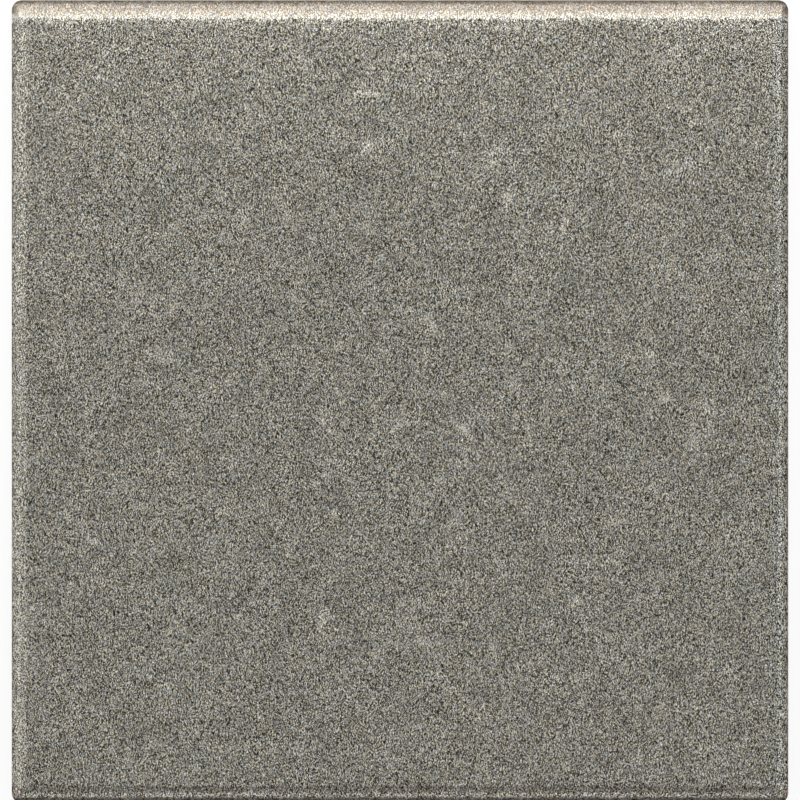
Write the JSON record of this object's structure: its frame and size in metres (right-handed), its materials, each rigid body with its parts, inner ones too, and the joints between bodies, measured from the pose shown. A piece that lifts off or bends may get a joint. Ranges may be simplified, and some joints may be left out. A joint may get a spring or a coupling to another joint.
{
  "type": "accent tile",
  "caption": "Near-square cast resin wall tile with a flat, fine-grained metal-look face, a rolled edge all round and a plain flat back that is bonded to the wall.",
  "frame": {"origin": "middle of the flat back, which lies on the floor", "axes": "+Z out of the face, +Y towards the edge at the top of the picture, +X to the picture's right"},
  "size_m": [0.0982, 0.1016, 0.008],
  "materials": {
    "metal_look_resin": "satin pewter look, with a fine even blasted grain, faint lighter smudges and warmer, rubbed edges"
  },
  "bodies": {
    "root": {"accent_tile": "metal_look_resin"}
  },
  "joints": []
}
